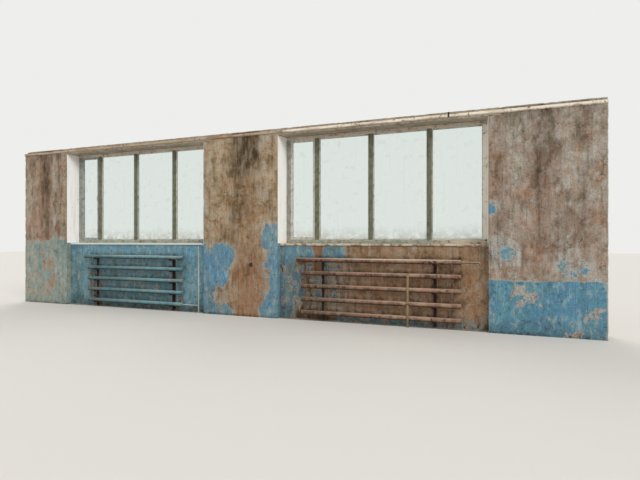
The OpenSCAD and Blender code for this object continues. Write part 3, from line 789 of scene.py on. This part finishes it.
def bitten(place):
    """How much of an arris has broken away at a place, 0 where it is whole."""
    return max(0.0, noise.noise(place * 9.0) + 0.5 * noise.noise(place * 21.0) - 0.12)


def arris_points(bm):
    """The points on a piece's sharp edges."""
    sharp = [e for e in bm.edges if len(e.link_faces) == 2 and e.calc_face_angle() > ARRIS_TURN]
    return {v for e in sharp for v in e.verts}


def on_weather_side(place):
    """Whether a place is on the outer face, on an end or on top of the wall."""
    return place.y > WALL_OUT - RENDER_DEPTH or abs(place.x) > WALL_END - HAIR or place.z > WALL_TOP - HAIR


def masonry(node, finish, wear, uneven=UNEVEN, chip=0.02):
    """A plastered copy of a CAD solid: uneven faces, chipped arrises, and its wear on its points. All of it
    lies inside the solid's own faces, and its foot stays level."""
    bm = merged_copy(node)
    slice_grid(bm, PLASTER_STEP)
    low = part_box(node)[0]
    refine_holes(bm, wear, low)
    bm.normal_update()
    layer = bm.verts.layers.float_color.new("wear")
    arrises = arris_points(bm)
    for vert in bm.verts:
        place = vert.co.copy()
        weather = on_weather_side(place)
        levels = wear_outside(place, wear.seed) if weather else wear.at(place.x - low.x, place.z)
        vert[layer] = (*levels, float(weather))
        depth = waviness(place, uneven)
        if not weather:
            depth += wear.sunk(place.x - low.x, place.z, levels[2])
        if vert in arrises:
            depth += chip * bitten(place)
        if place.z > FLOOR + HAIR:
            vert.co = place - vert.normal * depth
            vert.co.z = max(vert.co.z, FLOOR)
    made = piece(node + "_plaster", bm, finish)
    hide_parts(node)


def dress_masonry(finishes):
    """The piers, aprons, lintels, ledge, boards and reveals as uneven plaster."""
    for node, slot in PLASTER_SLOTS.items():
        masonry(node, finishes[node], PLASTER_WEAR[node])
    bare = Wear(31.0)
    for bay in BAYS:
        masonry(bay + "_lintel", finishes["lintel"], PLASTER_WEAR["lintel"])
        masonry(bay + "_window_board", finishes[bay + " board"], bare,
                uneven=0.002, chip=0.012 if bay == "far" else 0.05)
        masonry(bay + "_reveals", finishes["whitewash"], bare, uneven=0.001, chip=0.003)
    masonry("ledge_strip", finishes["ledge"], PLASTER_WEAR["ledge"],
            uneven=0.002, chip=0.008)


def give_finish(node, finish):
    """Gives a CAD node that stays a finish."""
    slots = NODES[node].data.materials
    slots.clear()
    slots.append(finish)


def dress_windows(finishes):
    """Materials of the window pieces, which keep their own shapes, and the vents' fittings."""
    by_part = {"frame_head": "head", "frame_rail": "rail", "frame_jambs": "jamb",
               "frame_mullions": "mullion", "glazing_stops": "bead", "glazing_beads": "bead",
               "glass": "glass", "vent_sash": "bead", "vent_bead": "bead", "vent_glass": "glass",
               "outer_sill": "zinc"}
    for bay in BAYS:
        for part, finish in by_part.items():
            give_finish(f"{bay}_{part}", finishes[finish])
        vent_fittings(bay, finishes["fitting"])
    for part in ("vent_sash", "vent_bead"):
        give_finish("far_" + part, finishes["far sash"])


def add_block(bm, low, high, bevel=0.0015):
    """Adds a block between two corners with its edges eased."""
    made = bmesh.ops.create_cube(bm, size=1.0)
    size = Vector(high) - Vector(low)
    middle = (Vector(high) + Vector(low)) / 2
    place = Matrix.Translation(middle) @ Matrix.Diagonal((*size, 1.0))
    bmesh.ops.transform(bm, matrix=place, verts=made["verts"])
    edges = list({e for v in made["verts"] for e in v.link_edges})
    bmesh.ops.bevel(bm, geom=edges, offset=bevel, affect="EDGES", segments=2, profile=0.5, material=-1)


def add_bar(bm, start, end, radius, sides=16):
    """Adds a closed round bar between two points."""
    axis = Vector(end) - Vector(start)
    middle = (Vector(start) + Vector(end)) / 2
    turn = axis.to_track_quat("Z", "Y").to_matrix().to_4x4()
    bmesh.ops.create_cone(bm, cap_ends=True, segments=sides, radius1=radius, radius2=radius,
                          depth=axis.length, matrix=Matrix.Translation(middle) @ turn)


def add_hinge(bm, x, face, z):
    """Adds a butt hinge at the sash's corner: its pin between two knobs, its leaf and two screws."""
    pin_r = 0.006
    half = 0.045
    x += pin_r
    y = face - pin_r
    add_bar(bm, (x, y, z - half), (x, y, z + half), pin_r)
    for end in (-half, half):
        knob = bmesh.ops.create_uvsphere(bm, u_segments=12, v_segments=8, radius=0.0072)
        bmesh.ops.translate(bm, vec=(x, y, z + end), verts=knob["verts"])
    add_block(bm, (x, face - 0.002, z - 0.04), (x + 0.03, face + 0.001, z + 0.04), 0.0008)
    screw_x = x + 0.018
    for side in (-0.024, 0.024):
        add_bar(bm, (screw_x, face - 0.0035, z + side), (screw_x, face, z + side), 0.004, 10)


def add_turn_button(bm, x, face, z):
    """Adds a turn button: its plate, its pin, and the button, which hangs down to a thicker end."""
    add_block(bm, (x - 0.012, face - 0.003, z - 0.05), (x + 0.012, face + 0.001, z + 0.05))
    add_bar(bm, (x, face - 0.022, z), (x, face - 0.002, z), 0.009)
    add_block(bm, (x - 0.007, face - 0.028, z - 0.085), (x + 0.007, face - 0.018, z + 0.012), 0.003)
    add_block(bm, (x - 0.009, face - 0.031, z - 0.1), (x + 0.009, face - 0.016, z - 0.08), 0.005)


def vent_fittings(bay, finish):
    """Two butt hinges in the corner of the vent sash's far stile and a turn button on its near stile."""
    low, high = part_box(bay + "_vent_sash")
    tall = high.z - low.z
    half_stile = 0.024
    bm = bmesh.new()
    for share in (0.16, 0.84):
        add_hinge(bm, low.x, low.y, low.z + tall * share)
    add_turn_button(bm, high.x - half_stile, low.y, low.z + tall * 0.52)
    piece(bay + "_vent_fittings", bm, finish)


def row_start(bay, row):
    """Where the pipe of that row starts, found on the CAD pipes."""
    z = row_height(row)
    points = [v.co for v in NODES[bay + "_radiator_pipes"].data.vertices]
    return min(p.x for p in points if abs(p.z - z) < ROW_PITCH / 2)


def pipe_rows(bay):
    """(start, end, height) of each level pipe of a radiator, lowest first."""
    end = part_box(bay + "_radiator_pipes")[1].x
    return [(row_start(bay, i), end, row_height(i)) for i in range(ROWS)]


def links_of(bay):
    """(x, lower row, radius) of each link pipe, found on the CAD links."""
    points = [v.co for v in NODES[bay + "_radiator_links"].data.vertices]
    low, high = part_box(bay + "_radiator_links")
    halfway = (low.x + high.x) / 2
    found = []
    for row in range(ROWS - 1):
        z = row_height(row + 0.5)
        level = [p.x for p in points if abs(p.z - z) < ROW_PITCH / 2]
        for xs in ([x for x in level if x < halfway], [x for x in level if x > halfway]):
            found.append(((min(xs) + max(xs)) / 2, row, (max(xs) - min(xs)) / 2))
    return found


def add_ring(bm, centre, axis, radius, thick, sides=28, around=8):
    """Adds a ring of round section about an axis, and gives its points."""
    side = axis.orthogonal().normalized()
    circle = bmesh.ops.create_circle(bm, segments=around, radius=thick)
    others = set(bm.verts) - set(circle["verts"])
    turn = Matrix((side, axis, side.cross(axis))).transposed().to_4x4()
    bmesh.ops.transform(bm, matrix=Matrix.Translation(centre + side * radius) @ turn, verts=circle["verts"])
    edges = list({e for v in circle["verts"] for e in v.link_edges})
    bmesh.ops.spin(bm, geom=circle["verts"] + edges, cent=centre, axis=axis, angle=math.tau,
                   steps=sides, use_merge=True)
    return [v for v in bm.verts if v not in others]


def saddle(vert, axis_z, above):
    """Moves a point of a level ring onto the round of a pipe, above or below its axis, and roughens it."""
    across = min(abs(vert.co.y - PIPE_Y), PIPE_R * 0.999)
    rise = math.sqrt(PIPE_R ** 2 - across ** 2)
    lump = WELD_LUMP * noise.noise(vert.co * 60.0 + Vector((0.0, 0.0, axis_z * 7.0)))
    vert.co.z += axis_z + (rise if above else -rise) + lump


def weld_beads(bay, finish):
    """A rough bead round both ends of every link pipe, following the curve of the pipe that it meets, and
    one where each end plate joins its pipe."""
    bm = bmesh.new()
    up = Vector((0.0, 0.0, 1.0))
    lengthwise = Vector((1.0, 0.0, 0.0))
    for x, row, radius in links_of(bay):
        for side in (0, 1):
            for vert in add_ring(bm, Vector((x, PIPE_Y, 0.0)), up, radius, LINK_BEAD_R):
                saddle(vert, row_height(row + side), side == 0)
    for start, end, z in pipe_rows(bay):
        for x in (start, end):
            centre = Vector((x, PIPE_Y, z))
            add_ring(bm, centre, lengthwise, PIPE_R - PLATE_BEAD_SUNK, PLATE_BEAD_R, 40, 6)
    bmesh.ops.recalc_face_normals(bm, faces=bm.faces)
    beads = piece(bay + "_weld_beads", bm, finish)
    beads.data.shade_smooth()


def smooth_pipes(bay, finish):
    """The level pipes with rounder sides than the CAD's."""
    bm = bmesh.new()
    for start, end, z in pipe_rows(bay):
        add_bar(bm, (start, PIPE_Y, z), (end, PIPE_Y, z), PIPE_R, 48)
    pipes = piece(bay + "_pipes_smooth", bm, finish)
    for polygon in pipes.data.polygons:
        polygon.use_smooth = abs(polygon.normal.x) < 0.5
    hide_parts(bay + "_radiator_pipes")


def dress_radiators(finishes):
    """Smooth pipes with their welds, on dark posts, and the pipes that feed and steady them."""
    for bay in BAYS:
        finish = finishes[bay + " pipe"]
        smooth_pipes(bay, finish)
        weld_beads(bay, finish)
        give_finish(bay + "_radiator_links", finishes[bay + " links"])
        give_finish(bay + "_radiator_plates", finish)
        give_finish(bay + "_radiator_posts", finishes["post"])
    give_finish("far_riser", finishes["pale pipe"])
    give_finish("near_retaining_bar", finishes["worn bar"])
    give_finish("near_feed_pipe", finishes["near pipe"])


def curl(flake, width, length, lift, taper):
    """Shapes a flat grid into a flake that lifts along its length and narrows towards its free end."""
    for vert in flake["verts"]:
        out = vert.co.y + 0.5
        vert.co = (vert.co.x * width * (1.0 - taper * out), out * length, lift * length * out * out)


def paint_flakes(node, count, finish, top):
    """Curled flakes of loose paint where a piece's paint is coming away, rooted in its plaster."""
    wear = PLASTER_WEAR[node]
    low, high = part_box(node)
    pick = random.Random(wear.seed)
    stand = Matrix.Rotation(math.pi / 2, 4, "X")
    bm = bmesh.new()
    placed = 0
    while placed < count:
        spot = Vector((pick.uniform(low.x + 0.03, high.x - 0.05), low.y, pick.uniform(0.1, top)))
        cover, _, rust = wear.at(spot.x - low.x, spot.z)
        coming_away = abs(cover - 0.5) <= 0.13
        if not coming_away:
            continue
        placed += 1
        width = pick.uniform(0.01, 0.034)
        length = pick.uniform(0.012, 0.045)
        lift = pick.uniform(0.12, 0.34)
        taper = pick.uniform(0.0, 0.6)
        flake = bmesh.ops.create_grid(bm, x_segments=2, y_segments=3, size=0.5)
        curl(flake, width, length, lift, taper)
        spot.y += waviness(spot, UNEVEN) + wear.sunk(spot.x - low.x, spot.z, rust) + FLAKE_ROOT
        turn = Matrix.Rotation(pick.uniform(0.0, math.tau), 4, "Z")
        bmesh.ops.transform(bm, matrix=Matrix.Translation(spot) @ stand @ turn, verts=flake["verts"])
        faces = list({f for v in flake["verts"] for f in v.link_faces})
        bmesh.ops.solidify(bm, geom=faces, thickness=FLAKE_THICK)
    bmesh.ops.recalc_face_normals(bm, faces=bm.faces)
    piece(node + "_flakes", bm, finish)


def add_bank(bm, low, high, wide, tallest):
    """Adds a low bank of dust along the foot of a wall that faces the room at low.y, thin at its ends."""
    tucked_in = 0.006
    end_gap = 0.015
    thick = 0.02
    fades_over = 0.2
    back = low.y + tucked_in
    start = low.x + end_gap
    end = high.x - end_gap
    made = bmesh.ops.create_cube(bm, size=1.0)
    middle = Vector(((start + end) / 2, back - wide / 2, thick / 2))
    shape = Matrix.Translation(middle) @ Matrix.Diagonal((end - start, wide, thick, 1.0))
    bmesh.ops.transform(bm, matrix=shape, verts=made["verts"])
    slice_grid(bm, DUST_STEP)
    for vert in bm.verts:
        if vert.co.z < thick / 2:
            continue
        out = min(1.0, (back - vert.co.y) / wide)
        to_end = min(1.0, max(0.05, min(vert.co.x - start, end - vert.co.x) / fades_over))
        swell = 0.6 + 0.8 * noise.fractal(Vector((vert.co.x * 2.2, vert.co.y * 6.0, 5.0)), 1.0, 2.0, 4)
        lump = 0.35 * noise.noise(vert.co * 55.0)
        vert.co.z = tallest * max(0.04, (1.0 - out) ** 1.3 * (swell + lump) * to_end)


def foot_rubble(bay, count, tallest, finish):
    """Dust and fallen plaster along the foot of an apron, with crumbs on it."""
    apron = bay + "_apron"
    low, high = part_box(apron)
    bm = bmesh.new()
    bank_wide = 0.085
    add_bank(bm, low, high, bank_wide, tallest)
    pick = random.Random(bay)
    for _ in range(count):
        crumb = bmesh.ops.create_icosphere(bm, subdivisions=1, radius=1.0)
        radius = 0.003 + 0.011 * pick.random() ** 2
        x = pick.uniform(low.x + 0.05, high.x - 0.05)
        spot = Vector((x, low.y - 0.012 - 0.1 * pick.random() ** 1.5, radius * 0.55))
        for vert in crumb["verts"]:
            bump = 1.0 + 0.35 * noise.noise(vert.co * 1.7 + spot * 40.0)
            vert.co = Vector((vert.co.x * 1.3, vert.co.y, vert.co.z * 0.75)) * radius * bump
        turn = Matrix.Rotation(pick.uniform(0.0, math.tau), 4, "Z")
        bmesh.ops.transform(bm, matrix=Matrix.Translation(spot) @ turn, verts=crumb["verts"])
        for vert in crumb["verts"]:
            vert.co.z = max(vert.co.z, FLOOR)
    bmesh.ops.recalc_face_normals(bm, faces=bm.faces)
    piece(bay + "_foot_rubble", bm, finish)


def ledge_strap(finish):
    """A thin steel strap bent over the ledge above the near window's last light."""
    from_pier = 0.70
    wide = 0.03
    eased = 0.0006
    low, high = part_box("ledge_strip")
    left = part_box("near_apron")[1].x - from_pier
    right = left + wide
    front = low.y - 0.0015
    bm = bmesh.new()
    add_block(bm, (left, front, low.z + 0.002), (right, low.y + 0.002, high.z + 0.001), eased)
    add_block(bm, (left, front, high.z - 0.001), (right, WALL_IN + 0.002, high.z + 0.0015), eased)
    add_block(bm, (left, WALL_IN - 0.002, high.z), (right, WALL_IN + 0.002, high.z + 0.045), eased)
    piece("ledge_strap", bm, finish)


def build_floor():
    """A pale floor under the wall."""
    bm = bmesh.new()
    bmesh.ops.create_grid(bm, x_segments=1, y_segments=1, size=60.0)
    floor = mesh_object("floor", bm, Finish("pale floor").surface(FLOOR_PALE, 0.9))


def build_surround():
    """A pale surround, seen directly, in gloss and through glass. The light that it gives is dimmer."""
    world = bpy.data.worlds.new("pale surround")
    bpy.context.scene.world = world
    world.use_nodes = True
    sky = Shader(world.node_tree)
    direct = sky.add("LightPath", out="Is Camera Ray")
    in_gloss = sky.add("LightPath", out="Is Glossy Ray")
    through_glass = sky.add("LightPath", out="Is Transmission Ray")
    light = sky.add("Background", None, {"Color": DAYLIGHT, "Strength": 0.62})
    shown = sky.add("Background", None, {"Color": SURROUND_PALE})
    mixed = sky.add("MixShader", None, {0: direct | in_gloss | through_glass, 1: light, 2: shown})
    sky.add("OutputWorld", None, {"Surface": mixed})


def add_sun(name, from_place, strength, angle):
    """A wide soft sun that shines from that direction on the origin."""
    lamp = bpy.data.lights.new(name, "SUN")
    lamp.energy = strength
    lamp.angle = math.radians(angle)
    holder = put_in_scene(name, lamp)
    holder.rotation_euler = Vector(from_place).to_track_quat("Z", "Y").to_euler()


def build_camera():
    """The photograph's standpoint in the room, turned and zoomed so that the whole wall is in view."""
    near_pier_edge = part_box("near_apron")[1].x
    beside_edge = 0.642
    from_wall = 9.24
    eye_height = 1.63
    turned_left = math.radians(22.6)
    focal_px = 500.0
    picture_width = 640
    camera = bpy.data.cameras.new("camera")
    camera.sensor_width = 36.0
    camera.lens = focal_px * camera.sensor_width / picture_width
    holder = put_in_scene("camera", camera)
    holder.location = (near_pier_edge + beside_edge, WALL_IN - from_wall, eye_height)
    holder.rotation_euler = (math.radians(90.0), 0.0, turned_left)
    bpy.context.scene.camera = holder


# Loose flakes on each painted piece: how many, their finish and how high they reach
FLAKES = {
    "middle_pier": (110, "blue flake", 1.85),
    "near_pier": (80, "blue flake", 1.4),
    "far_pier": (50, "grey flake", 1.6),
    "near_apron": (90, "blue flake", 1.45),
    "far_apron": (40, "blue flake", 1.2),
}

# Rubble at the foot of each apron: how many crumbs, and how tall the dust lies
RUBBLE = {"near": (160, 0.024), "far": (90, 0.014)}


def build():
    """Dresses the whole wall and lights it from the room side and a little from outside."""
    finishes = {name: kind(*look) for name, (kind, *look) in FINISHES.items()}
    build_camera()
    build_floor()
    build_surround()
    add_sun("key light", (0.9, -0.8, 0.85), 1.5, 30.0)
    add_sun("outside light", (-0.5, 0.9, 0.8), 0.8, 40.0)
    dress_masonry(finishes)
    dress_windows(finishes)
    dress_radiators(finishes)
    for node, (count, finish, top) in FLAKES.items():
        paint_flakes(node, count, finishes[finish], top)
    for bay, (count, tallest) in RUBBLE.items():
        foot_rubble(bay, count, tallest, finishes["rubble"])
    ledge_strap(finishes["post"])
    bpy.context.scene.view_settings.view_transform = "Standard"


build()
